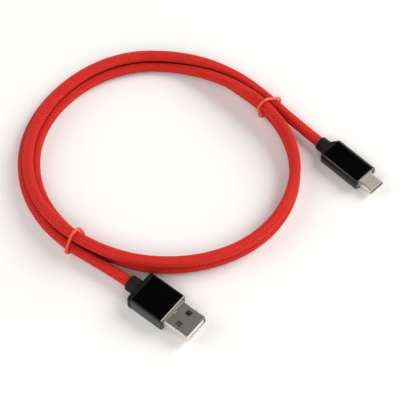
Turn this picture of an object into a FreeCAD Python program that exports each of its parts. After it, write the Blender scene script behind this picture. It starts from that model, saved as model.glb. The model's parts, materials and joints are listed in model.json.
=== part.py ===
import FreeCAD, Part
import math
import os

# Charging cable: braided cord wound in a loose coil, a flat A-type plug on one
# end, a small oblong C-type plug on the other, and two soft ring ties round the
# coil.  Millimetres.  +X is the way the A plug goes into its port, +Z is up,
# z = 0 is the surface the cable lies on, and the origin is the middle of the
# underside of the A plug.

V = FreeCAD.Vector

# ---------------------------------------------------------------- dimensions
# A plug, lying flat
A_TIP_X = 17.25            # mouth of the metal shell
A_AXIS_Z = 3.85            # height of the plug's axis
A_SHELL_W, A_SHELL_H, A_SHELL_T, A_SHELL_L = 12.0, 4.5, 0.3, 18.75
A_EXPOSED = 11.9           # metal shell that stands out of the housing
A_HOUSING_L = 15.5
A_HOUSING_W, A_HOUSING_H, A_HOUSING_R = 15.6, 7.7, 1.3
A_CAVITY_W, A_CAVITY_H, A_CAVITY_R = 13.2, 6.2, 1.2
A_CAP_L = 2.17
A_SPIGOT_L = 1.41
A_BOOT_L, A_BOOT_R1, A_BOOT_R2 = 4.93, 3.6, 3.45
A_WINDOW_Y, A_WINDOW_FROM_TIP, A_WINDOW_L, A_WINDOW_W = 3.05, 6.3, 2.35, 2.15

# C plug, drawn about its own axis with +X out of its mouth
C_SHELL_W, C_SHELL_H, C_SHELL_T, C_SHELL_L = 8.25, 2.4, 0.25, 10.2
C_EXPOSED = 6.4
C_HOUSING_L = 19.85
C_HOUSING_W, C_HOUSING_H, C_HOUSING_R = 12.5, 6.4, 2.6
C_CAVITY_W, C_CAVITY_H, C_CAVITY_R = 9.4, 5.0, 1.9
C_CAP_L = 3.02
C_SPIGOT_L = 1.42
C_BOOT_L, C_BOOT_R1, C_BOOT_R2 = 3.31, 3.15, 3.05
C_FRONT = (28.04, 100.763, 3.2)  # centre of the housing's front face
C_HEADING = -6.76                # degrees from +X, seen from above

# Cord
CORD_D = 4.7
CORD_R = CORD_D / 2.0
CORE_R = 1.95              # stripped inner jacket inside each plug
WIRE_R = 0.5

# Ring ties
TIE_R = 0.62               # half the thickness of the round band
TIE_A_AZIMUTH = 268.2      # where each tie grips the coil, about its centre
TIE_C_AZIMUTH = 68.5
TIE_GAP_TOP = 0.40
TIE_GROUND = 0.06          # band's underside above the surface

# Coil
COIL_CENTRE = (-45.42, 53.37)
COIL_BEYOND_TIE = 8.0      # degrees that the full bundle reaches past each tie
STATIONS = 72
SIDES = 18

# Route of the cord's centreline, from inside the A plug's boot to inside the
# C plug's boot: short tail, almost two and a half loose turns, short tail.
ROUTE = [
    (-8.74, 0.00, 3.85), (-22.68, 0.00, 3.85), (-36.85, -1.32, 3.85), (-49.52, -2.36, 4.12),
    (-63.88, -0.38, 3.40), (-79.29, 6.14, 2.46), (-92.04, 17.20, 2.35), (-100.36, 31.18, 2.35),
    (-103.95, 46.97, 2.35), (-103.57, 63.22, 2.35), (-99.04, 78.81, 2.35), (-89.87, 92.33, 2.35),
    (-76.55, 101.59, 2.35), (-60.76, 104.99, 2.35), (-44.51, 104.71, 3.40), (-28.44, 103.29, 4.42),
    (-12.95, 98.75, 3.59), (0.09, 89.21, 2.55), (8.98, 75.41, 2.35), (12.47, 59.53, 2.35),
    (10.21, 43.47, 2.35), (3.02, 28.82, 2.35), (-7.56, 16.54, 2.35), (-21.07, 7.65, 2.65),
    (-36.48, 2.74, 3.85), (-52.73, 2.17, 4.12), (-68.42, 6.14, 2.93), (-82.40, 14.46, 2.35),
    (-92.89, 26.84, 2.35), (-98.37, 42.15, 2.35), (-98.85, 58.40, 2.35), (-94.59, 74.18, 2.35),
    (-85.71, 87.79, 2.35), (-72.58, 97.24, 2.46), (-57.27, 101.68, 5.29), (-41.39, 102.63, 8.41),
    (-25.14, 101.49, 9.05), (-9.64, 96.58, 8.03), (2.65, 86.18, 7.09), (10.11, 71.54, 7.09),
    (12.29, 55.38, 7.09), (8.98, 39.50, 7.09), (0.76, 25.51, 7.09), (-10.96, 14.17, 7.09),
    (-24.76, 5.76, 7.56), (-40.16, 1.04, 8.66), (-56.42, 0.57, 8.26), (-72.10, 4.82, 6.80),
    (-85.71, 13.80, 6.33), (-95.44, 26.74, 6.61), (-100.45, 42.15, 6.61), (-101.30, 58.50, 6.43),
    (-97.52, 74.28, 6.24), (-89.21, 88.07, 6.24), (-76.45, 98.37, 6.52), (-61.05, 105.27, 6.99),
    (-44.98, 108.96, 5.10), (-30.71, 108.30, 4.10), (-17.67, 106.03, 3.92), (-3.59, 104.51, 3.20),
    (9.73, 102.93, 3.20),
]
TAIL_A_POINTS = 4          # points of ROUTE in the tail beside the A plug
TAIL_C_POINTS = 4          # points of ROUTE in the tail beside the C plug
TAIL_INTO_COIL = 0.6       # share of each tail's last run that is inside the coil

os.makedirs("parts", exist_ok=True)


# ------------------------------------------------------------------- helpers
def box(x0, x1, y0, y1, z0, z1):
    return Part.makeBox(x1 - x0, y1 - y0, z1 - z0, V(x0, y0, z0))


def cyl_x(r, x0, x1, y=0.0, z=0.0):
    return Part.makeCylinder(r, x1 - x0, V(x0, y, z), V(1, 0, 0))


def line(a, b):
    return Part.LineSegment(V(*a), V(*b)).toShape()


def arc(a, b, c):
    return Part.Arc(V(*a), V(*b), V(*c)).toShape()


def rounded_wire(x, w, h, r, zc):
    """Closed rounded rectangle across the X axis; r = h/2 gives an oblong."""
    a, b = w / 2.0, h / 2.0
    k = r * (1 - math.sqrt(0.5))
    edges = []
    corners = [(1, 1), (-1, 1), (-1, -1), (1, -1)]
    ends = []
    for sy, sz in corners:
        p_side = (x, sy * a, zc + sz * (b - r))
        p_mid = (x, sy * (a - k), zc + sz * (b - k))
        p_top = (x, sy * (a - r), zc + sz * b)
        if sy * sz > 0:
            ends.append((p_side, p_mid, p_top))
        else:
            ends.append((p_top, p_mid, p_side))
    for i, e in enumerate(ends):
        edges.append(arc(*e))
        nxt = ends[(i + 1) % 4][0]
        if V(*e[2]).distanceToPoint(V(*nxt)) > 1e-6:
            edges.append(line(e[2], nxt))
    return Part.Wire(edges)


def rounded_bar(x0, x1, w, h, r, zc=0.0):
    face = Part.Face(rounded_wire(x0, w, h, r, zc))
    return face.extrude(V(x1 - x0, 0, 0))


def edges_at_x(shape, x, outer_only=None):
    found = []
    for e in shape.Edges:
        bb = e.BoundBox
        if abs(bb.XMin - x) < 1e-6 and abs(bb.XMax - x) < 1e-6:
            if outer_only is None or outer_only(e):
                found.append(e)
    return found


def path_wire(points, radii_out=None):
    """Straight runs joined by tangent arcs, each as large as its runs allow."""
    pts = [V(*p) for p in points]
    edges = []
    start = pts[0]
    for i in range(1, len(pts) - 1):
        a, b, c = pts[i - 1], pts[i], pts[i + 1]
        u = (b - a).normalize()
        w = (c - b).normalize()
        turn = math.acos(max(-1.0, min(1.0, u.dot(w))))
        short = min((b - a).Length, (c - b).Length)
        cut = 0.45 * short
        radius = cut / math.tan(turn / 2.0)
        if radii_out is not None:
            radii_out.append(radius)
        t0 = b - u * cut
        t1 = b + w * cut
        mid_dir = (w - u).normalize()
        mid = b + mid_dir * (math.sqrt(radius * radius + cut * cut) - radius)
        edges.append(Part.LineSegment(start, t0).toShape())
        edges.append(Part.Arc(t0, mid, t1).toShape())
        start = t1
    edges.append(Part.LineSegment(start, pts[-1]).toShape())
    return Part.Wire(edges)


def tube(points, r, report=None):
    radii = []
    wire = path_wire(points, radii)
    d = (V(*points[1]) - V(*points[0])).normalize()
    section = Part.Wire([Part.Circle(V(*points[0]), d, r).toShape()])
    solid = wire.makePipeShell([section], True, False)
    if report:
        length = wire.Length
        print("%s: length %.2f mm, smallest radius %.1f mm, volume / (section x length) %.5f"
              % (report, length, min(radii), solid.Volume / (math.pi * r * r * length)))
    return solid


def biggest(shape):
    solids = sorted(shape.Solids, key=lambda s: -s.Volume)
    return solids[0]


def cut_all(shape, tools):
    for t in tools:
        shape = shape.cut(t)
    return shape


def save(name, shape, place=None):
    if place is not None:
        shape = shape.copy()
        shape.Placement = place.multiply(shape.Placement)
    if not shape.isValid():
        print("not valid:", name)
    print("%-20s solids %d  volume %.2f" % (name, len(shape.Solids), shape.Volume))
    shape.exportStep("parts/%s.step" % name)


# ------------------------------------------------------------------- A plug
ZA = A_AXIS_Z
xa_front = A_TIP_X - A_EXPOSED                 # front face of the housing
xa_rear = xa_front - A_HOUSING_L               # rear face of the housing
xa_cap = xa_rear - A_CAP_L                     # rear face of the end cap
xa_boot = xa_cap - A_BOOT_L                    # where the cord leaves
xa_cord = xa_rear + A_SPIGOT_L                 # cut end of the braided cord
xa_shell0 = A_TIP_X - A_SHELL_L
xa_can0, xa_can1 = -3.8, xa_front + 0.6
xa_core = -7.5

# drawn steel shell with its two latch windows above and below, a raised
# locating tab with its slit, and a folded lead-in at the mouth
a_shell = rounded_bar(xa_shell0, A_TIP_X, A_SHELL_W, A_SHELL_H, 0.55, ZA)
a_shell = a_shell.makeChamfer(0.12, edges_at_x(a_shell, A_TIP_X))
a_shell = a_shell.cut(rounded_bar(xa_shell0 - 1, A_TIP_X + 1, A_SHELL_W - 2 * A_SHELL_T,
                                  A_SHELL_H - 2 * A_SHELL_T, 0.25, ZA))
xw = A_TIP_X - A_WINDOW_FROM_TIP
windows = []
for sy in (-1, 1):
    for sz in (-1, 1):
        zc = ZA + sz * (A_SHELL_H / 2 - A_SHELL_T / 2)
        w = box(xw - A_WINDOW_L / 2, xw + A_WINDOW_L / 2, sy * A_WINDOW_Y - A_WINDOW_W / 2,
                sy * A_WINDOW_Y + A_WINDOW_W / 2, zc - 0.5, zc + 0.5)
        w = w.makeFillet(0.2, [e for e in w.Edges if abs(e.BoundBox.ZLength - 1.0) < 1e-6])
        windows.append(w)
slot = box(xa_front + 1.45, xa_front + 1.75, -0.55, 0.55, ZA + 1.5, ZA + 3)
tab = Part.makeCylinder(0.34, 1.1, V(xa_front + 1.2, -0.55, ZA + A_SHELL_H / 2 - 0.16), V(0, 1, 0))
tab = tab.common(box(xa_front, xa_front + 2.0, -1, 1, ZA + A_SHELL_H / 2 - 0.2, ZA + 4))
seam = box(xa_front + 0.9, A_TIP_X + 1, -0.03, 0.03, ZA - 3, ZA - 1.5)
a_shell = cut_all(a_shell, windows + [slot, seam]).fuse(tab).removeSplitter()

# contact strips: outer pair longer, inner pair shorter, tails out at the back
strips = []
for y, x_end in ((-3.5, A_TIP_X - 2.0), (-1.0, A_TIP_X - 3.0), (1.0, A_TIP_X - 3.0), (3.5, A_TIP_X - 2.0)):
    s = box(-3.4, x_end, y - 0.5, y + 0.5, ZA - 0.25, ZA)
    s = s.makeChamfer(0.1, [e for e in s.Edges if abs(e.BoundBox.XMin - x_end) < 1e-6
                            and abs(e.BoundBox.ZMin - ZA) < 1e-6 and abs(e.BoundBox.ZMax - ZA) < 1e-6])
    strips.append(s)
a_contacts = Part.makeCompound(strips)

# moulded insulator: tongue in the lower half, full-height block at the back,
# and a shelf that carries the contact tails
tongue = box(2.0, A_TIP_X - 0.55, -5.4, 5.4, ZA - 1.95, ZA - 0.15)
tongue = tongue.makeChamfer(0.25, [e for e in tongue.Edges
                                   if abs(e.BoundBox.XMin - (A_TIP_X - 0.55)) < 1e-6 and abs(e.BoundBox.YLength - 10.8) < 1e-6])
block = box(-1.5, 2.0, -5.4, 5.4, ZA - 1.95, ZA + 1.95)
shelf = box(-3.6, -1.5, -4.6, 4.6, ZA - 1.2, ZA - 0.1)
a_insulator = tongue.fuse(block).fuse(shelf).removeSplitter()
a_insulator = cut_all(a_insulator, strips)

# conductors from the cable's core to the contact tails
a_wires = []
for y0, z0, y1 in ((-0.55, -0.55, -3.5), (-0.55, 0.55, -1.0), (0.55, 0.55, 1.0), (0.55, -0.55, 3.5)):
    a_wires.append(tube([(xa_core, y0, ZA + z0), (-6.2, y0, ZA + z0), (-4.0, y1, ZA + 0.6), (-2.2, y1, ZA + 0.6)], WIRE_R))
a_conductors = Part.makeCompound(a_wires)
a_solder_list = []
for y in (-3.5, -1.0, 1.0, 3.5):
    s = box(-3.1, -1.9, y - 0.62, y + 0.62, ZA, ZA + 1.2)
    s = s.makeFillet(0.25, [e for e in s.Edges if e.BoundBox.ZMin > ZA + 1.1])
    a_solder_list.append(biggest(cut_all(s, a_wires)))
a_solder = Part.makeCompound(a_solder_list)

# stripped inner jacket, gripped by the shield can's crimp
a_core = cyl_x(CORE_R, xa_cord, xa_core, 0, ZA)

# folded shield can round the back of the shell, with its crimp ring
can = rounded_bar(xa_can0, xa_can1, A_SHELL_W + 0.5, A_SHELL_H + 0.5, 0.8, ZA)
can = can.cut(rounded_bar(xa_can0 - 1, xa_can1 + 1, A_SHELL_W, A_SHELL_H, 0.55, ZA))
ring = cyl_x(CORE_R + 0.45, -8.65, -7.6, 0, ZA).cut(cyl_x(CORE_R, -9.1, -7.0, 0, ZA))
strap = box(-8.5, -3.6, -1.5, 1.5, ZA - 2.5, ZA - 2.25)
a_can = can.fuse(strap).fuse(ring).removeSplitter()
a_can = biggest(a_can.cut(a_core))

# housing: a black sleeve with a polished, chamfered front edge
outer = rounded_bar(xa_rear, xa_front, A_HOUSING_W, A_HOUSING_H, A_HOUSING_R, ZA)
outer = outer.makeChamfer(0.35, edges_at_x(outer, xa_front))
a_housing = outer.cut(rounded_bar(xa_rear - 1, xa_front + 1, A_CAVITY_W, A_CAVITY_H, A_CAVITY_R, ZA))

# inner mould that fills the sleeve round everything
a_mould = rounded_bar(xa_cord, xa_front - 0.4, A_CAVITY_W, A_CAVITY_H, A_CAVITY_R, ZA)
shell_envelope = rounded_bar(xa_shell0, A_TIP_X, A_SHELL_W, A_SHELL_H, 0.55, ZA)
a_mould = cut_all(a_mould, [shell_envelope, a_can, a_core, a_insulator] + strips + a_wires + a_solder_list)
a_mould = biggest(a_mould)

# matt end cap with a spigot in the sleeve, and the boot through it
cap = rounded_bar(xa_cap, xa_rear, A_HOUSING_W, A_HOUSING_H, A_HOUSING_R, ZA)
cap = cap.makeFillet(0.8, edges_at_x(cap, xa_cap))
cap = cap.fuse(rounded_bar(xa_rear, xa_cord, A_CAVITY_W, A_CAVITY_H, A_CAVITY_R, ZA)).removeSplitter()
a_cap = cap.cut(cyl_x(3.0, xa_cap - 1, xa_cord + 1, 0, ZA))
boot = Part.makeCone(A_BOOT_R2, A_BOOT_R1, A_BOOT_L, V(xa_boot, 0, ZA), V(1, 0, 0))
boot = boot.makeFillet(0.5, edges_at_x(boot, xa_boot))
boot = boot.fuse(cyl_x(3.0, xa_cap, xa_cord, 0, ZA)).removeSplitter()
a_boot = boot.cut(cyl_x(CORD_R, xa_boot - 1, xa_cord + 1, 0, ZA))

save("a_shell", a_shell)
save("a_insulator", a_insulator)
save("a_contacts", a_contacts)
save("a_shield_can", a_can)
save("a_solder_joints", a_solder)
save("a_conductors", a_conductors)
save("a_cable_core", a_core)
save("a_inner_mould", a_mould)
save("a_housing", a_housing)
save("a_end_cap", a_cap)
save("a_boot", a_boot)

# ------------------------------------------------------------------- C plug
C_PLACE = FreeCAD.Placement(V(*C_FRONT), FreeCAD.Rotation(V(0, 0, 1), C_HEADING))
xc_tip = C_EXPOSED
xc_shell0 = xc_tip - C_SHELL_L
xc_rear = -C_HOUSING_L
xc_cap = xc_rear - C_CAP_L
xc_boot = xc_cap - C_BOOT_L
xc_cord = xc_rear + C_SPIGOT_L
xc_core = -15.5

c_shell = rounded_bar(xc_shell0, xc_tip, C_SHELL_W, C_SHELL_H, C_SHELL_H / 2 - 0.001)
c_shell = c_shell.makeFillet(0.12, edges_at_x(c_shell, xc_tip))
inner_h = C_SHELL_H - 2 * C_SHELL_T
inner_w = C_SHELL_W - 2 * C_SHELL_T
c_shell = c_shell.cut(rounded_bar(xc_shell0 - 1, xc_tip + 1, inner_w, inner_h, inner_h / 2 - 0.001))

# contact rows: the wired positions of the upper and the lower row
upper_y = (-2.75, -1.25, -0.75, -0.25, 0.25, 1.25, 2.75)
lower_y = (-2.75, -1.25, 0.75, 1.25, 2.75)
upper = [box(-5.9, 5.1, y - 0.12, y + 0.12, 0.3, 0.45) for y in upper_y]
lower = [box(-5.9, 5.1, y - 0.12, y + 0.12, -0.45, -0.3) for y in lower_y]

# side latch springs that click into the port's tongue
latches = []
for s in (-1, 1):
    arm = box(-3.8, 4.7, min(s * 3.5, s * 3.72), max(s * 3.5, s * 3.72), -0.35, 0.35)
    hook = box(4.2, 4.7, min(s * 3.15, s * 3.5), max(s * 3.15, s * 3.5), -0.3, 0.3)
    latches.append(arm.fuse(hook).removeSplitter())
# grounding leaf springs above and below the mouth
leaves = [box(3.3, 5.7, -2.3, 2.3, 0.83, 0.94), box(3.3, 5.7, -2.3, 2.3, -0.94, -0.83)]

c_ins = rounded_bar(xc_shell0, 6.28, inner_w, inner_h, inner_h / 2 - 0.001)
c_ins = c_ins.cut(box(0.3, 7.0, -3.4, 3.4, -0.4, 0.4))
for s in (-1, 1):
    c_ins = c_ins.cut(box(-2.3, 5.1, min(s * 3.35, s * 4.3), max(s * 3.35, s * 4.3), -0.42, 0.42))
c_ins = c_ins.cut(box(3.2, 5.8, -2.4, 2.4, 0.83, 2)).cut(box(3.2, 5.8, -2.4, 2.4, -2, -0.83))
c_ins = biggest(cut_all(c_ins, upper + lower + latches))

# small circuit card with its identification resistor
c_card = box(-9.9, xc_shell0, -3.6, 3.6, -0.3, 0.3)
c_resistor = box(-7.3, -6.3, 1.75, 2.25, 0.3, 0.65)
c_wires = []
for y0, z0, y1 in ((-0.55, -0.55, -2.3), (-0.55, 0.55, -0.75), (0.55, 0.55, 0.75), (0.55, -0.55, 2.3)):
    c_wires.append(tube([(xc_core, y0, z0), (-14.2, y0, z0), (-11.6, y1, 0.87), (-8.3, y1, 0.87)], WIRE_R))
c_solder_list = []
for y in (-2.3, -0.75, 0.75, 2.3):
    s = box(-9.3, -8.0, y - 0.62, y + 0.62, 0.3, 1.45)
    s = s.makeFillet(0.25, [e for e in s.Edges if e.BoundBox.ZMin > 1.4])
    c_solder_list.append(biggest(cut_all(s, c_wires)))
c_core = cyl_x(CORE_R, xc_cord, xc_core)

# shield can over the card, closed round the shell at the front
c_can = rounded_bar(-10.9, -1.95, 8.9, 4.2, 1.2).cut(rounded_bar(-11.0, -2.2, 8.4, 3.7, 0.95))
c_can = c_can.cut(rounded_bar(-3.9, 0, C_SHELL_W, C_SHELL_H, C_SHELL_H / 2 - 0.001))
c_ring = cyl_x(CORE_R + 0.3, -18.3, -16.4).cut(cyl_x(CORE_R, -18.7, -16.3))
c_strap = box(-17.9, -10.7, -1.2, 1.2, -2.1, -1.85)
c_can = c_can.fuse(c_strap).fuse(c_ring).removeSplitter()
c_can = biggest(c_can.cut(c_core))

c_outer = rounded_bar(xc_rear, 0, C_HOUSING_W, C_HOUSING_H, C_HOUSING_R)
c_outer = c_outer.makeChamfer(0.35, edges_at_x(c_outer, 0.0))
c_housing = c_outer.cut(rounded_bar(xc_rear - 1, 1, C_CAVITY_W, C_CAVITY_H, C_CAVITY_R))

c_mould = rounded_bar(xc_cord, -0.4, C_CAVITY_W, C_CAVITY_H, C_CAVITY_R)
c_env = rounded_bar(xc_shell0, xc_tip, C_SHELL_W, C_SHELL_H, C_SHELL_H / 2 - 0.001)
c_mould = cut_all(c_mould, [c_env, c_can, c_core, c_card, c_resistor] + upper + lower + c_wires + c_solder_list)
c_mould = biggest(c_mould)

# end cap: shoulders that draw in from the housing to the round boot
def shoulder(x, w, h, r):
    return rounded_wire(x, w, h, r, 0.0)


r1 = C_BOOT_R1
c_cap = Part.makeLoft([
    shoulder(xc_cap, 2 * r1, 2 * r1, r1 - 0.02),
    shoulder(xc_cap + 0.75, 7.1, 6.31, r1 - 0.06),
    shoulder(xc_cap + 1.7, 9.8, 6.36, 2.9),
    shoulder(xc_cap + 2.5, 11.7, C_HOUSING_H - 0.02, 2.7),
    shoulder(xc_rear, C_HOUSING_W, C_HOUSING_H, C_HOUSING_R),
], True, False)
c_cap = c_cap.fuse(rounded_bar(xc_rear - 0.2, xc_cord, C_CAVITY_W, C_CAVITY_H, C_CAVITY_R)).removeSplitter()
c_cap = c_cap.cut(cyl_x(2.9, xc_cap - 1, xc_rear)).cut(cyl_x(CORD_R, xc_rear - 1, xc_cord + 1))
c_boot = Part.makeCone(C_BOOT_R2, C_BOOT_R1, C_BOOT_L, V(xc_boot, 0, 0), V(1, 0, 0))
c_boot = c_boot.makeFillet(0.4, edges_at_x(c_boot, xc_boot))
c_boot = c_boot.fuse(cyl_x(2.9, xc_cap, xc_rear)).removeSplitter()
c_boot = c_boot.cut(cyl_x(CORD_R, xc_boot - 1, xc_cord + 1))

save("c_shell", c_shell, C_PLACE)
save("c_insulator", c_ins, C_PLACE)
save("c_contacts_upper", Part.makeCompound(upper), C_PLACE)
save("c_contacts_lower", Part.makeCompound(lower), C_PLACE)
save("c_latch_springs", Part.makeCompound(latches), C_PLACE)
save("c_ground_springs", Part.makeCompound(leaves), C_PLACE)
save("c_circuit_card", c_card, C_PLACE)
save("c_resistor", c_resistor, C_PLACE)
save("c_solder_joints", Part.makeCompound(c_solder_list), C_PLACE)
save("c_conductors", Part.makeCompound(c_wires), C_PLACE)
save("c_cable_core", c_core, C_PLACE)
save("c_shield_can", c_can, C_PLACE)
save("c_inner_mould", c_mould, C_PLACE)
save("c_housing", c_housing, C_PLACE)
save("c_end_cap", c_cap, C_PLACE)
save("c_boot", c_boot, C_PLACE)

# --------------------------------------------------------------------- cord
# Smooth centreline of the whole cord: each middle point of the route rounds a
# corner between the middles of its two runs.
def centreline(route, per_span=24):
    pts = [V(*p) for p in route]
    out = []
    n = len(pts)
    for i in range(1, n - 1):
        a = pts[0] if i == 1 else (pts[i - 1] + pts[i]) * 0.5
        c = pts[-1] if i == n - 2 else (pts[i] + pts[i + 1]) * 0.5
        b = pts[i]
        last = per_span if i < n - 2 else per_span + 1
        for k in range(last):
            t = k / float(per_span)
            out.append(a * ((1 - t) ** 2) + b * (2 * t * (1 - t)) + c * (t * t))
    return out


LINE = centreline(ROUTE)
length = sum((LINE[i + 1] - LINE[i]).Length for i in range(len(LINE) - 1))
print("cord centreline %.1f mm" % length)


def azimuths(points):
    out = []
    turn = 0.0
    last = None
    for p in points:
        a = math.degrees(math.atan2(p.y - COIL_CENTRE[1], p.x - COIL_CENTRE[0]))
        if last is not None:
            while a + turn - last > 180:
                turn -= 360
            while a + turn - last < -180:
                turn += 360
        last = a + turn
        out.append(last)
    return out


AZ = azimuths(LINE)
# bring the winding to the turn in which the A tie sits at its own azimuth
shift = 0.0
start_az = AZ[0]
while start_az + shift < 270:
    shift += 360.0
while start_az + shift > 630:
    shift -= 360.0
AZ = [a + shift for a in AZ]
COIL_FROM = TIE_A_AZIMUTH + COIL_BEYOND_TIE
COIL_TO = TIE_C_AZIMUTH - COIL_BEYOND_TIE - 720.0


def strands_at(station):
    """(radius, height) of every strand of the coil that crosses this azimuth."""
    found = []
    for i in range(len(LINE) - 1):
        a0, a1 = AZ[i], AZ[i + 1]
        if a1 >= a0:
            continue
        k = math.ceil((a1 - station) / 360.0)
        t_az = station + 360.0 * k
        if a1 <= t_az < a0 and COIL_TO <= t_az <= COIL_FROM:
            t = (a0 - t_az) / (a0 - a1)
            p = LINE[i] + (LINE[i + 1] - LINE[i]) * t
            found.append((math.hypot(p.x - COIL_CENTRE[0], p.y - COIL_CENTRE[1]), p.z))
    return found


def bundle_outline(strands):
    """Outline round the strands, as SIDES points, smooth from one to the next."""
    out = []
    for k in range(SIDES):
        a = 2 * math.pi * (k + 0.5) / SIDES
        nx, nz = math.cos(a), math.sin(a)
        best = max(r * nx + z * nz for r, z in strands)
        weights = [math.exp(2.2 * (r * nx + z * nz - best)) for r, z in strands]
        tot = sum(weights)
        r = sum(w * s[0] for w, s in zip(weights, strands)) / tot
        z = sum(w * s[1] for w, s in zip(weights, strands)) / tot
        out.append((r + CORD_R * nx, max(0.0, z + CORD_R * nz)))
    return out


rings = []
for j in range(STATIONS):
    az = 360.0 * j / STATIONS
    ca, sa = math.cos(math.radians(az)), math.sin(math.radians(az))
    rings.append([V(COIL_CENTRE[0] + r * ca, COIL_CENTRE[1] + r * sa, z)
                  for r, z in bundle_outline(strands_at(az))])
faces = []
for j in range(STATIONS):
    p, n = rings[j], rings[(j + 1) % STATIONS]
    for k in range(SIDES):
        m = (k + 1) % SIDES
        for tri in ((p[k], n[k], n[m]), (p[k], n[m], p[m])):
            faces.append(Part.Face(Part.makePolygon([tri[0], tri[1], tri[2], tri[0]])))
shell = Part.makeShell(faces)
shell.sewShape()
if shell.ShapeType != "Shell":
    shell = shell.Shells[0]
coil = Part.makeSolid(shell)
if coil.Volume < 0:
    coil.reverse()


def tail(points):
    """Points of one tail; its last run stops part way, inside the coil."""
    a, b = V(*points[-2]), V(*points[-1])
    e = a + (b - a) * TAIL_INTO_COIL
    return list(points[:-1]) + [(e.x, e.y, e.z)]


tail_a = tube(tail(ROUTE[:TAIL_A_POINTS]), CORD_R, "tail at the A plug")
tail_c = tube(tail(ROUTE[:-TAIL_C_POINTS - 1:-1]), CORD_R, "tail at the C plug")
save("cord_coil", coil)
save("cord_tail_a", tail_a)
save("cord_tail_c", tail_c)


# --------------------------------------------------------------------- ties
def tie(azimuth):
    """Closed round band whose plane stands square to the bundle at azimuth."""
    here = []
    for i in range(len(LINE) - 1):
        a0, a1 = AZ[i], AZ[i + 1]
        if a1 >= a0:
            continue
        t_az = azimuth + 360.0 * math.ceil((a1 - azimuth) / 360.0)
        if a1 <= t_az < a0 and COIL_TO <= t_az <= COIL_FROM:
            here.append(i)
    mean = V(0, 0, 0)
    centre = V(0, 0, 0)
    for i in here:
        mean += (LINE[i + 1] - LINE[i]).normalize()
        centre += LINE[i]
    centre = centre * (1.0 / len(here))
    mean = V(mean.x, mean.y, 0).normalize()
    side = V(0, 0, 1).cross(mean).normalize()          # across the bundle
    circles = []
    for i in here:
        best = None
        for j in range(max(0, i - 60), min(len(LINE) - 1, i + 60)):
            d0 = (LINE[j] - centre).dot(mean)
            d1 = (LINE[j + 1] - centre).dot(mean)
            if d0 <= 0 < d1 or d1 <= 0 < d0:
                t = d0 / (d0 - d1)
                best = LINE[j] + (LINE[j + 1] - LINE[j]) * t
        circles.append([(best - centre).dot(side), best.z])
    top = max(circles, key=lambda c: c[1])
    rings_ = []
    for c in circles:
        if c is top:
            r = CORD_R + TIE_GAP_TOP + TIE_R
        else:
            r = c[1] - TIE_GROUND - TIE_R
        rings_.append((c[0], c[1], r))
    mid = (sum(c[0] for c in rings_) / 3.0, sum(c[1] for c in rings_) / 3.0)
    rings_.sort(key=lambda c: math.atan2(c[1] - mid[1], c[0] - mid[0]))
    # outer tangent from each circle to the next, going anticlockwise
    tangents = []
    for k in range(3):
        (x0, y0, r0), (x1, y1, r1_) = rings_[k], rings_[(k + 1) % 3]
        dx, dy = x1 - x0, y1 - y0
        d = math.hypot(dx, dy)
        base = math.atan2(dy, dx)
        off = math.acos((r0 - r1_) / d)
        a = base - off
        tangents.append(((x0 + r0 * math.cos(a), y0 + r0 * math.sin(a)),
                         (x1 + r1_ * math.cos(a), y1 + r1_ * math.sin(a)), a))

    def at(p):
        return V(centre.x + side.x * p[0], centre.y + side.y * p[0], p[1])

    edges = []
    for k in range(3):
        start, end, a = tangents[k]
        edges.append(Part.LineSegment(at(start), at(end)).toShape())
        x1, y1, r1_ = rings_[(k + 1) % 3]
        a2 = tangents[(k + 1) % 3][2]
        while a2 < a:
            a2 += 2 * math.pi
        am = (a + a2) / 2
        edges.append(Part.Arc(at(end), at((x1 + r1_ * math.cos(am), y1 + r1_ * math.sin(am))),
                              at(tangents[(k + 1) % 3][0])).toShape())
    wire = Part.Wire(edges)
    d = edges[0].Curve.Direction if hasattr(edges[0].Curve, "Direction") else (at(tangents[0][1]) - at(tangents[0][0])).normalize()
    section = Part.Wire([Part.Circle(at(tangents[0][0]), d, TIE_R).toShape()])
    solid = wire.makePipeShell([section], True, False)
    print("tie at %.1f: centre %.2f %.2f, along %.6f %.6f, strands %s, loop %.1f mm"
          % (azimuth, centre.x, centre.y, mean.x, mean.y,
             [(round(c[0], 2), round(c[1], 2), round(c[2], 2)) for c in rings_], wire.Length))
    return solid


save("tie_near_a", tie(TIE_A_AZIMUTH))
save("tie_near_c", tie(TIE_C_AZIMUTH))
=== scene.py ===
import bpy
import bmesh
import json
import math
from mathutils import Vector, Matrix


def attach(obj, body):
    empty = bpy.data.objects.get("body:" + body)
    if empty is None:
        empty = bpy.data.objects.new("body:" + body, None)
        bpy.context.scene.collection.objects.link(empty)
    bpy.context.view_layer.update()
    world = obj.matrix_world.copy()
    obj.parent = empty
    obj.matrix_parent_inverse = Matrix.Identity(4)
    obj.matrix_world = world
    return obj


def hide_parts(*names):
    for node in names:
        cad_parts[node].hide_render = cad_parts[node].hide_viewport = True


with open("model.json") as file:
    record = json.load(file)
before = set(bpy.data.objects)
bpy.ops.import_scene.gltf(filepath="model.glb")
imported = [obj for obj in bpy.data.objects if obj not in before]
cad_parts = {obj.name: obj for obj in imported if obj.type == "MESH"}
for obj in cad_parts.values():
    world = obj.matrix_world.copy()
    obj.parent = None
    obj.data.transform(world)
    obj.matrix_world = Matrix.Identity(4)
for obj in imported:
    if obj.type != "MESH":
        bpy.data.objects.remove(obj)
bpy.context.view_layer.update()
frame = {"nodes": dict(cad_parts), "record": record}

# ------------------------------------------------------------------ camera
cam_data = bpy.data.cameras.new("camera")
cam = bpy.data.objects.new("camera", cam_data)
bpy.context.scene.collection.objects.link(cam)
cam.location = (0.18758, -0.21083, 0.52258)
aim = Vector((-0.02126, 0.05046, 0.0))
cam.rotation_euler = (aim - cam.location).to_track_quat("-Z", "Y").to_euler()
cam_data.sensor_width = 36.0
cam_data.lens = 132.55
cam_data.clip_start = 0.01
cam_data.clip_end = 20.0
bpy.context.scene.camera = cam

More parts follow.
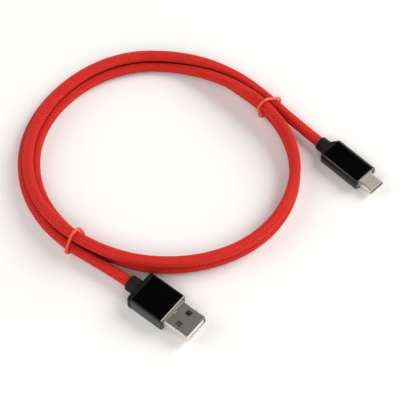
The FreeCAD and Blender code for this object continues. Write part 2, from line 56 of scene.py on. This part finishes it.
# -------------------------------------------------------------------- cord
# the route's points, in millimetres, as in the part's source
ROUTE = [
    (-8.74, 0.00, 3.85), (-22.68, 0.00, 3.85), (-36.85, -1.32, 3.85), (-49.52, -2.36, 4.12),
    (-63.88, -0.38, 3.40), (-79.29, 6.14, 2.46), (-92.04, 17.20, 2.35), (-100.36, 31.18, 2.35),
    (-103.95, 46.97, 2.35), (-103.57, 63.22, 2.35), (-99.04, 78.81, 2.35), (-89.87, 92.33, 2.35),
    (-76.55, 101.59, 2.35), (-60.76, 104.99, 2.35), (-44.51, 104.71, 3.40), (-28.44, 103.29, 4.42),
    (-12.95, 98.75, 3.59), (0.09, 89.21, 2.55), (8.98, 75.41, 2.35), (12.47, 59.53, 2.35),
    (10.21, 43.47, 2.35), (3.02, 28.82, 2.35), (-7.56, 16.54, 2.35), (-21.07, 7.65, 2.65),
    (-36.48, 2.74, 3.85), (-52.73, 2.17, 4.12), (-68.42, 6.14, 2.93), (-82.40, 14.46, 2.35),
    (-92.89, 26.84, 2.35), (-98.37, 42.15, 2.35), (-98.85, 58.40, 2.35), (-94.59, 74.18, 2.35),
    (-85.71, 87.79, 2.35), (-72.58, 97.24, 2.46), (-57.27, 101.68, 5.29), (-41.39, 102.63, 8.41),
    (-25.14, 101.49, 9.05), (-9.64, 96.58, 8.03), (2.65, 86.18, 7.09), (10.11, 71.54, 7.09),
    (12.29, 55.38, 7.09), (8.98, 39.50, 7.09), (0.76, 25.51, 7.09), (-10.96, 14.17, 7.09),
    (-24.76, 5.76, 7.56), (-40.16, 1.04, 8.66), (-56.42, 0.57, 8.26), (-72.10, 4.82, 6.80),
    (-85.71, 13.80, 6.33), (-95.44, 26.74, 6.61), (-100.45, 42.15, 6.61), (-101.30, 58.50, 6.43),
    (-97.52, 74.28, 6.24), (-89.21, 88.07, 6.24), (-76.45, 98.37, 6.52), (-61.05, 105.27, 6.99),
    (-44.98, 108.96, 5.10), (-30.71, 108.30, 4.10), (-17.67, 106.03, 3.92), (-3.59, 104.51, 3.20),
    (9.73, 102.93, 3.20),
]
CORD_R = 0.00235

line = bpy.data.curves.new("route", "CURVE")
line.dimensions = "3D"
line.resolution_u = 40
spline = line.splines.new("NURBS")
spline.points.add(len(ROUTE) - 1)
for i, (x, y, z) in enumerate(ROUTE):
    spline.points[i].co = (x / 1000.0, y / 1000.0, z / 1000.0, 1.0)
spline.order_u = 3
spline.use_endpoint_u = True
route_obj = bpy.data.objects.new("route", line)
bpy.context.scene.collection.objects.link(route_obj)
bpy.context.view_layer.update()
read = bpy.data.meshes.new_from_object(route_obj)
PATH = [v.co.copy() for v in read.vertices]
bpy.data.objects.remove(route_obj)
bpy.data.meshes.remove(read)

# even steps along the line read from the spline
dist = [0.0]
for i in range(1, len(PATH)):
    dist.append(dist[-1] + (PATH[i] - PATH[i - 1]).length)
CORD_LENGTH = dist[-1]


def sample(s):
    s = max(0.0, min(CORD_LENGTH, s))
    lo, hi = 0, len(dist) - 1
    while hi - lo > 1:
        mid = (lo + hi) // 2
        if dist[mid] <= s:
            lo = mid
        else:
            hi = mid
    t = (s - dist[lo]) / max(1e-12, dist[hi] - dist[lo])
    return PATH[lo].lerp(PATH[hi], t)


def tube_along(name, step, around, radius):
    """Mesh tube with a UV map in turns round and metres along, no twist."""
    n = int(round(CORD_LENGTH / step))
    centres = [sample(CORD_LENGTH * i / n) for i in range(n + 1)]
    tangents = []
    for i in range(n + 1):
        a = centres[max(0, i - 1)]
        b = centres[min(n, i + 1)]
        tangents.append((b - a).normalized())
    up = Vector((0, 0, 1))
    normal = (up - tangents[0] * up.dot(tangents[0])).normalized()
    verts, faces, uvs = [], [], []
    for i in range(n + 1):
        t = tangents[i]
        normal = (normal - t * normal.dot(t)).normalized()
        side = t.cross(normal)
        for k in range(around):
            a = 2 * math.pi * k / around
            verts.append(centres[i] + (normal * math.cos(a) + side * math.sin(a)) * radius)
    for i in range(n):
        for k in range(around):
            m = (k + 1) % around
            faces.append((i * around + k, i * around + m, (i + 1) * around + m, (i + 1) * around + k))
            s0, s1 = CORD_LENGTH * i / n, CORD_LENGTH * (i + 1) / n
            u0, u1 = k / around, (k + 1) / around
            uvs.append(((u0, s0), (u1, s0), (u1, s1), (u0, s1)))
    faces.append(tuple(reversed(range(around))))
    uvs.append(tuple((k / around, 0.0) for k in reversed(range(around))))
    faces.append(tuple(n * around + k for k in range(around)))
    uvs.append(tuple((k / around, CORD_LENGTH) for k in range(around)))
    me = bpy.data.meshes.new(name)
    me.from_pydata([tuple(v) for v in verts], [], faces)
    me.update()
    layer = me.uv_layers.new(name="braid")
    li = 0
    for f in uvs:
        for uv in f:
            layer.data[li].uv = uv
            li += 1
    for p in me.polygons:
        p.use_smooth = True
    me.polygons[-1].use_smooth = False
    me.polygons[-2].use_smooth = False
    ob = bpy.data.objects.new(name, me)
    bpy.context.scene.collection.objects.link(ob)
    return ob


cord = tube_along("cord_braided", 0.00085, 40, CORD_R)
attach(cord, "cable")
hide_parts("cord_coil", "cord_tail_a", "cord_tail_c")


# --------------------------------------------------------------- materials
class Nodes:
    """Small helper that builds one node material."""

    def __init__(self, name):
        self.mat = bpy.data.materials.new(name)
        self.mat.use_nodes = True
        self.tree = self.mat.node_tree
        self.tree.nodes.clear()
        self.out = self.tree.nodes.new("ShaderNodeOutputMaterial")
        self.bsdf = self.tree.nodes.new("ShaderNodeBsdfPrincipled")
        self.link(self.bsdf.outputs[0], self.out.inputs["Surface"])

    def link(self, a, b):
        self.tree.links.new(a, b)

    def add(self, kind, **props):
        n = self.tree.nodes.new(kind)
        for k, v in props.items():
            setattr(n, k, v)
        return n

    def feed(self, socket, value):
        if hasattr(value, "is_linked") or hasattr(value, "links"):
            self.link(value, socket)
        else:
            socket.default_value = value

    def math(self, op, a, b=None, c=None, clamp=False):
        n = self.add("ShaderNodeMath", operation=op, use_clamp=clamp)
        self.feed(n.inputs[0], a)
        if b is not None:
            self.feed(n.inputs[1], b)
        if c is not None:
            self.feed(n.inputs[2], c)
        return n.outputs[0]

    def coords(self, which="Object"):
        return self.add("ShaderNodeTexCoord").outputs[which]

    def mapping(self, vec, scale=(1, 1, 1), rot=(0, 0, 0)):
        n = self.add("ShaderNodeMapping")
        self.link(vec, n.inputs["Vector"])
        n.inputs["Scale"].default_value = scale
        n.inputs["Rotation"].default_value = rot
        return n.outputs[0]

    def noise(self, vec, scale, detail=3.0, rough=0.5):
        n = self.add("ShaderNodeTexNoise")
        self.link(vec, n.inputs["Vector"])
        n.inputs["Scale"].default_value = scale
        n.inputs["Detail"].default_value = detail
        n.inputs["Roughness"].default_value = rough
        return n.outputs[0]

    def ramp(self, fac, stops, interp="LINEAR"):
        n = self.add("ShaderNodeValToRGB")
        n.color_ramp.interpolation = interp
        els = n.color_ramp.elements
        while len(els) < len(stops):
            els.new(0.5)
        for e, (p, c) in zip(els, stops):
            e.position = p
            e.color = c if len(c) == 4 else (c[0], c[1], c[2], 1.0)
        self.link(fac, n.inputs[0])
        return n.outputs[0]

    def range(self, fac, a0, a1, b0, b1):
        n = self.add("ShaderNodeMapRange")
        self.link(fac, n.inputs[0])
        for i, v in enumerate((a0, a1, b0, b1)):
            n.inputs[i + 1].default_value = v
        return n.outputs[0]

    def bump(self, height, strength, distance, normal=None):
        n = self.add("ShaderNodeBump")
        n.inputs["Strength"].default_value = strength
        n.inputs["Distance"].default_value = distance
        self.link(height, n.inputs["Height"])
        if normal is not None:
            self.link(normal, n.inputs["Normal"])
        return n.outputs[0]

    def painted_crevice_shade(self, reach, low, high):
        """Painted shade: 1 on open surfaces, falling to low in crevices narrower than reach."""
        n = self.add("ShaderNodeAmbientOcclusion", samples=8)
        n.inputs["Distance"].default_value = reach
        return self.range(n.outputs["AO"], 0.15, high, low, 1.0)

    def shade(self, colour, factor):
        n = self.add("ShaderNodeVectorMath", operation="SCALE")
        self.link(colour, n.inputs[0])
        self.link(factor, n.inputs["Scale"])
        return n.outputs[0]

    def along(self, vec, direction, start):
        """Distance past start, measured along a direction."""
        n = self.add("ShaderNodeVectorMath", operation="DOT_PRODUCT")
        self.link(vec, n.inputs[0])
        n.inputs[1].default_value = direction
        return self.math("SUBTRACT", n.outputs["Value"], start)

    def set(self, **values):
        for k, v in values.items():
            self.feed(self.bsdf.inputs[k.replace("_", " ")], v)


def braid_material():
    m = Nodes("red_braid")
    uv = m.add("ShaderNodeUVMap", uv_map="braid").outputs[0]
    sep = m.add("ShaderNodeSeparateXYZ")
    m.link(uv, sep.inputs[0])
    u, v = sep.outputs[0], sep.outputs[1]
    carriers = 14.0                    # strands each way round the cord
    pitch = 0.0126                     # advance of one strand in a full turn
    a = m.math("MULTIPLY", m.math("ADD", u, m.math("DIVIDE", v, pitch)), carriers)
    b = m.math("MULTIPLY", m.math("SUBTRACT", u, m.math("DIVIDE", v, pitch)), carriers)
    fa = m.math("FRACT", a)
    fb = m.math("FRACT", b)
    ia = m.math("FLOOR", a)
    ib = m.math("FLOOR", b)
    # rounded profile across each strand
    pa = m.math("SINE", m.math("MULTIPLY", fa, math.pi))
    pb = m.math("SINE", m.math("MULTIPLY", fb, math.pi))
    # over two, under two
    quarter = m.math("MULTIPLY", m.math("ADD", m.math("ADD", ia, ib), 0.5), 0.25)
    over = m.math("GREATER_THAN", m.math("FRACT", quarter), 0.5)
    lift_a = m.math("ADD", pa, m.math("MULTIPLY", over, 0.55))
    lift_b = m.math("ADD", pb, m.math("MULTIPLY", m.math("SUBTRACT", 1.0, over), 0.55))
    height = m.math("MAXIMUM", lift_a, lift_b)
    # filaments along each strand
    fil_a = m.math("SINE", m.math("MULTIPLY", a, 2 * math.pi * 5.0))
    fil_b = m.math("SINE", m.math("MULTIPLY", b, 2 * math.pi * 5.0))
    pick = m.math("GREATER_THAN", lift_a, lift_b)
    mixn = m.add("ShaderNodeMix", data_type="FLOAT")
    m.link(pick, mixn.inputs[0])
    m.link(fil_b, mixn.inputs[2])
    m.link(fil_a, mixn.inputs[3])
    fil = mixn.outputs[0]
    full = m.math("ADD", height, m.math("MULTIPLY", fil, 0.07))
    obj = m.coords("Object")
    mottle = m.noise(obj, 260.0, 4.0, 0.6)
    patch = m.noise(obj, 22.0, 2.0, 0.5)
    # painted shade and painted highlight: the colour follows the weave's height, darker in the grooves and lighter on
    # the strand crests; mottle and patch add random tone
    painted_shade_and_highlight = m.range(full, 0.72, 1.50, 0.0, 1.0)
    tone = m.math("ADD", m.math("MULTIPLY", painted_shade_and_highlight, 0.74), m.math("MULTIPLY", mottle, 0.20))
    tone = m.math("ADD", tone, m.math("MULTIPLY", patch, 0.10))
    # the top stop, paler in green and blue, is a painted highlight on the crests; the low stops are painted shade in
    # the grooves
    col = m.ramp(tone, [(0.14, (0.13, 0.0006, 0.0004)), (0.40, (0.56, 0.0030, 0.0018)),
                        (0.64, (0.92, 0.010, 0.006)), (0.92, (1.00, 0.060, 0.040))])
    # painted shade: the cord's colour darkens in crevices, between touching turns and near the floor
    col = m.shade(col, m.painted_crevice_shade(0.0030, 0.20, 0.66))
    m.set(Base_Color=col)
    m.feed(m.bsdf.inputs["Roughness"], m.range(mottle, 0.3, 0.7, 0.48, 0.66))
    m.bsdf.inputs["Sheen Weight"].default_value = 0.02
    m.bsdf.inputs["Sheen Roughness"].default_value = 0.4
    m.bsdf.inputs["Specular IOR Level"].default_value = 0.12
    m.link(m.bump(full, 1.0, 0.00042), m.bsdf.inputs["Normal"])
    return m.mat


def gloss_black(name, heading, front, top, tint):
    m = Nodes(name)
    obj = m.coords("Object")
    smear = m.noise(m.mapping(obj, (1.0, 1.0, 1.0)), 130.0, 4.0, 0.55)
    fine = m.noise(obj, 2600.0, 2.0, 0.5)
    black = m.ramp(smear, [(0.3, (0.0008, 0.0008, 0.0009)), (0.75, (0.0022, 0.0022, 0.0024))])
    # the upper chamfer of the front edge is polished bright
    past = m.along(obj, heading, front)
    edge = m.math("MULTIPLY", m.range(past, -0.00037, -0.00034, 0.0, 1.0), m.range(past, -0.00003, -0.00001, 1.0, 0.0))
    edge = m.math("MULTIPLY", edge, m.range(m.along(obj, (0.0, 0.0, 1.0), top), -0.00045, -0.00036, 0.0, 1.0))
    turned = m.noise(m.mapping(obj, (6.0, 1.0, 1.0)), 900.0, 2.0, 0.5)
    bright = m.ramp(turned, [(0.3, tuple(c * 0.85 for c in tint)), (0.7, tint)])
    two = m.add("ShaderNodeMix", data_type="RGBA")
    m.link(edge, two.inputs[0])
    m.link(black, two.inputs[6])
    m.link(bright, two.inputs[7])
    m.link(two.outputs[2], m.bsdf.inputs["Base Color"])
    m.link(edge, m.bsdf.inputs["Metallic"])
    gloss = m.range(smear, 0.3, 0.75, 0.05, 0.11)
    m.link(m.math("ADD", gloss, m.math("MULTIPLY", edge, 0.30)), m.bsdf.inputs["Roughness"])
    m.bsdf.inputs["Specular IOR Level"].default_value = 0.5
    m.link(m.bump(fine, 0.03, 0.00002), m.bsdf.inputs["Normal"])
    return m.mat


def matt_black(name, base, rough):
    m = Nodes(name)
    obj = m.coords("Object")
    grain = m.noise(obj, 5200.0, 3.0, 0.6)
    wear = m.noise(obj, 180.0, 4.0, 0.55)
    m.feed(m.bsdf.inputs["Base Color"], m.ramp(wear, [(0.3, (base * 0.8,) * 3), (0.75, (base * 1.35,) * 3)]))
    m.feed(m.bsdf.inputs["Roughness"], m.range(wear, 0.3, 0.75, rough - 0.06, rough + 0.06))
    m.bsdf.inputs["Specular IOR Level"].default_value = 0.14
    m.link(m.bump(grain, 0.25, 0.00003), m.bsdf.inputs["Normal"])
    return m.mat


def plug_metal(name, base, axis_deg, rough=0.3, speckle=0.5):
    m = Nodes(name)
    obj = m.coords("Object")
    turned = m.mapping(obj, (1, 1, 1), (0, 0, math.radians(-axis_deg)))
    stretched = m.mapping(turned, (0.18, 1.0, 1.0))
    brush = m.noise(stretched, 5200.0, 3.0, 0.6)
    spots = m.noise(obj, 1500.0, 3.0, 0.7)
    cloud = m.noise(obj, 160.0, 3.0, 0.5)
    tone = m.math("ADD", m.math("MULTIPLY", brush, 0.35), m.math("MULTIPLY", spots, speckle))
    tone = m.math("ADD", tone, m.math("MULTIPLY", cloud, 0.25))
    lo = tuple(c * 0.62 for c in base)
    hi = tuple(min(1.0, c * 1.22) for c in base)
    m.feed(m.bsdf.inputs["Base Color"], m.ramp(tone, [(0.42, lo), (0.66, hi)]))
    m.feed(m.bsdf.inputs["Roughness"], m.range(tone, 0.35, 0.75, rough + 0.10, rough - 0.06))
    m.bsdf.inputs["Metallic"].default_value = 1.0
    m.link(m.bump(tone, 0.10, 0.00003), m.bsdf.inputs["Normal"])
    return m.mat


def moulded(name, base, rough, scale=3600.0, spec=0.5, painted_shade_reach=None):
    m = Nodes(name)
    obj = m.coords("Object")
    grain = m.noise(obj, scale, 3.0, 0.6)
    wear = m.noise(obj, 240.0, 3.0, 0.5)
    lo = tuple(c * 0.86 for c in base)
    hi = tuple(min(1.0, c * 1.08) for c in base)
    col = m.ramp(wear, [(0.3, lo), (0.75, hi)])
    if painted_shade_reach is not None:
        # painted shade: the colour darkens in recesses narrower than the reach, such as the tongue inside the sleeve
        col = m.shade(col, m.painted_crevice_shade(painted_shade_reach, 0.10, 0.75))
    m.link(col, m.bsdf.inputs["Base Color"])
    m.feed(m.bsdf.inputs["Roughness"], m.range(grain, 0.3, 0.75, rough - 0.05, rough + 0.07))
    m.bsdf.inputs["Specular IOR Level"].default_value = spec
    m.link(m.bump(grain, 0.15, 0.00002), m.bsdf.inputs["Normal"])
    return m.mat


def tie_material():
    m = Nodes("tie_rubber")
    obj = m.coords("Object")
    cloud = m.noise(obj, 420.0, 3.0, 0.5)
    fine = m.noise(obj, 4000.0, 2.0, 0.5)
    m.feed(m.bsdf.inputs["Base Color"], m.ramp(cloud, [(0.3, (0.84, 0.060, 0.022)), (0.75, (0.98, 0.125, 0.050))]))
    m.feed(m.bsdf.inputs["Roughness"], m.range(fine, 0.3, 0.7, 0.22, 0.34))
    m.bsdf.inputs["Subsurface Weight"].default_value = 0.35
    m.bsdf.inputs["Subsurface Radius"].default_value = (1.0, 0.25, 0.12)
    m.bsdf.inputs["Subsurface Scale"].default_value = 0.0012
    m.bsdf.inputs["Transmission Weight"].default_value = 0.15
    m.bsdf.inputs["IOR"].default_value = 1.42
    m.link(m.bump(fine, 0.08, 0.00003), m.bsdf.inputs["Normal"])
    return m.mat


# where each sleeve's front face is, along its own plug
C_WAY = (math.cos(math.radians(-6.76)), math.sin(math.radians(-6.76)), 0.0)
A_FRONT = 0.00535
C_FRONT = 0.02804 * C_WAY[0] + 0.100763 * C_WAY[1]

MATS = {
    "cord_braid": braid_material(),
    "housing_black_a": gloss_black("housing_black_a", (1.0, 0.0, 0.0), A_FRONT, 0.0077, (0.62, 0.575, 0.50)),
    "housing_black_c": gloss_black("housing_black_c", C_WAY, C_FRONT, 0.0064, (0.34, 0.315, 0.275)),
    "cap_black": matt_black("cap_black", 0.0065, 0.5),
    "boot_black": matt_black("boot_black", 0.0075, 0.55),
    "plug_metal_a": plug_metal("plug_metal_a", (0.70, 0.665, 0.61), 0.0, 0.36, 0.65),
    "plug_metal_c": plug_metal("plug_metal_c", (0.80, 0.745, 0.66), -6.76, 0.42, 0.35),
    "shield_metal": plug_metal("shield_metal", (0.78, 0.73, 0.64), 0.0, 0.48, 0.2),
    "spring_metal": plug_metal("spring_metal", (0.75, 0.74, 0.72), -6.76, 0.25, 0.3),
    "solder": plug_metal("solder", (0.78, 0.78, 0.77), 0.0, 0.3, 0.3),
    "contact_gold": plug_metal("contact_gold", (0.95, 0.70, 0.32), 0.0, 0.25, 0.2),
    # the white insulator gets painted shade in its recesses
    "insulator_white": moulded("insulator_white", (0.86, 0.86, 0.83), 0.42, painted_shade_reach=0.004),
    "insulator_black": moulded("insulator_black", (0.016, 0.016, 0.016), 0.45),
    "conductor": moulded("conductor", (0.55, 0.06, 0.04), 0.45),
    "core_jacket": moulded("core_jacket", (0.05, 0.05, 0.05), 0.5),
    "inner_mould": moulded("inner_mould", (0.66, 0.66, 0.63), 0.5),
    "card_green": moulded("card_green", (0.02, 0.14, 0.06), 0.35),
    "resistor_black": moulded("resistor_black", (0.02, 0.02, 0.02), 0.4),
    "tie_rubber": tie_material(),
}
slot_of = {s["node"]: s["material_slot"] for s in frame["record"]["subparts"]}


def dress(ob, mat):
    if not ob.material_slots:
        ob.data.materials.append(mat)
    for s in ob.material_slots:
        s.material = mat


for name, ob in frame["nodes"].items():
    s = slot_of.get(name)
    if s in ("plug_metal", "housing_black"):
        s = s + ("_a" if name.startswith("a_") else "_c")
    if s in MATS and s != "cord_braid":
        dress(ob, MATS[s])
dress(cord, MATS["cord_braid"])

# ------------------------------------------------------------------- stage
floor_mesh = bpy.data.meshes.new("floor")
bm = bmesh.new()
bmesh.ops.create_grid(bm, x_segments=8, y_segments=8, size=3.0)
bm.to_mesh(floor_mesh)
bm.free()
floor = bpy.data.objects.new("floor", floor_mesh)
bpy.context.scene.collection.objects.link(floor)
fm = Nodes("floor_white")
fo = fm.coords("Object")
fm.feed(fm.bsdf.inputs["Base Color"], fm.ramp(fm.noise(fo, 14.0, 3.0, 0.5), [(0.3, (0.90, 0.895, 0.885)), (0.75, (0.93, 0.925, 0.915))]))
fm.bsdf.inputs["Roughness"].default_value = 0.6
fm.bsdf.inputs["Specular IOR Level"].default_value = 0.1
dress(floor, fm.mat)

world = bpy.data.worlds.new("studio")
bpy.context.scene.world = world
world.use_nodes = True
wt = world.node_tree
back = wt.nodes["Background"]
wc = wt.nodes.new("ShaderNodeTexCoord")
ws = wt.nodes.new("ShaderNodeSeparateXYZ")
wr = wt.nodes.new("ShaderNodeValToRGB")
wt.links.new(wc.outputs["Generated"], ws.inputs[0])
wt.links.new(ws.outputs[2], wr.inputs[0])
wr.color_ramp.elements[0].position = 0.28
wr.color_ramp.elements[0].color = (0.95, 0.945, 0.93, 1.0)
wr.color_ramp.elements[1].position = 0.66
wr.color_ramp.elements[1].color = (0.012, 0.012, 0.012, 1.0)
wt.links.new(wr.outputs[0], back.inputs["Color"])
back.inputs["Strength"].default_value = 1.0


def area(name, loc, target, size, power, colour=(1, 1, 1)):
    ld = bpy.data.lights.new(name, "AREA")
    ld.shape = "RECTANGLE"
    ld.size, ld.size_y = size
    ld.energy = power
    ld.color = colour
    lo = bpy.data.objects.new(name, ld)
    lo.location = loc
    lo.rotation_euler = (Vector(target) - Vector(loc)).to_track_quat("-Z", "Y").to_euler()
    bpy.context.scene.collection.objects.link(lo)
    return lo


# directions as the camera sees them: right and away along the floor
RIGHT = Vector((math.cos(math.radians(38.64)), math.sin(math.radians(38.64)), 0))
AWAY = Vector((-math.sin(math.radians(38.64)), math.cos(math.radians(38.64)), 0))
MID = Vector((-0.0213, 0.0505, 0.0))


def spot(right, away, up):
    return tuple(MID + RIGHT * right + AWAY * away + Vector((0, 0, up)))


area("key", spot(1.0, 0.45, 0.8), MID, (1.0, 1.0), 17.6, (1.0, 0.985, 0.965))
area("left", spot(-1.0, 0.1, 0.7), MID, (0.9, 0.9), 6.4, (0.99, 0.985, 0.98))
area("front", spot(0.1, -1.0, 0.9), MID, (1.2, 0.6), 7.6, (1.0, 0.995, 0.985))

vs = bpy.context.scene.view_settings
vs.view_transform = "Standard"
vs.look = "None"
vs.exposure = 0.0
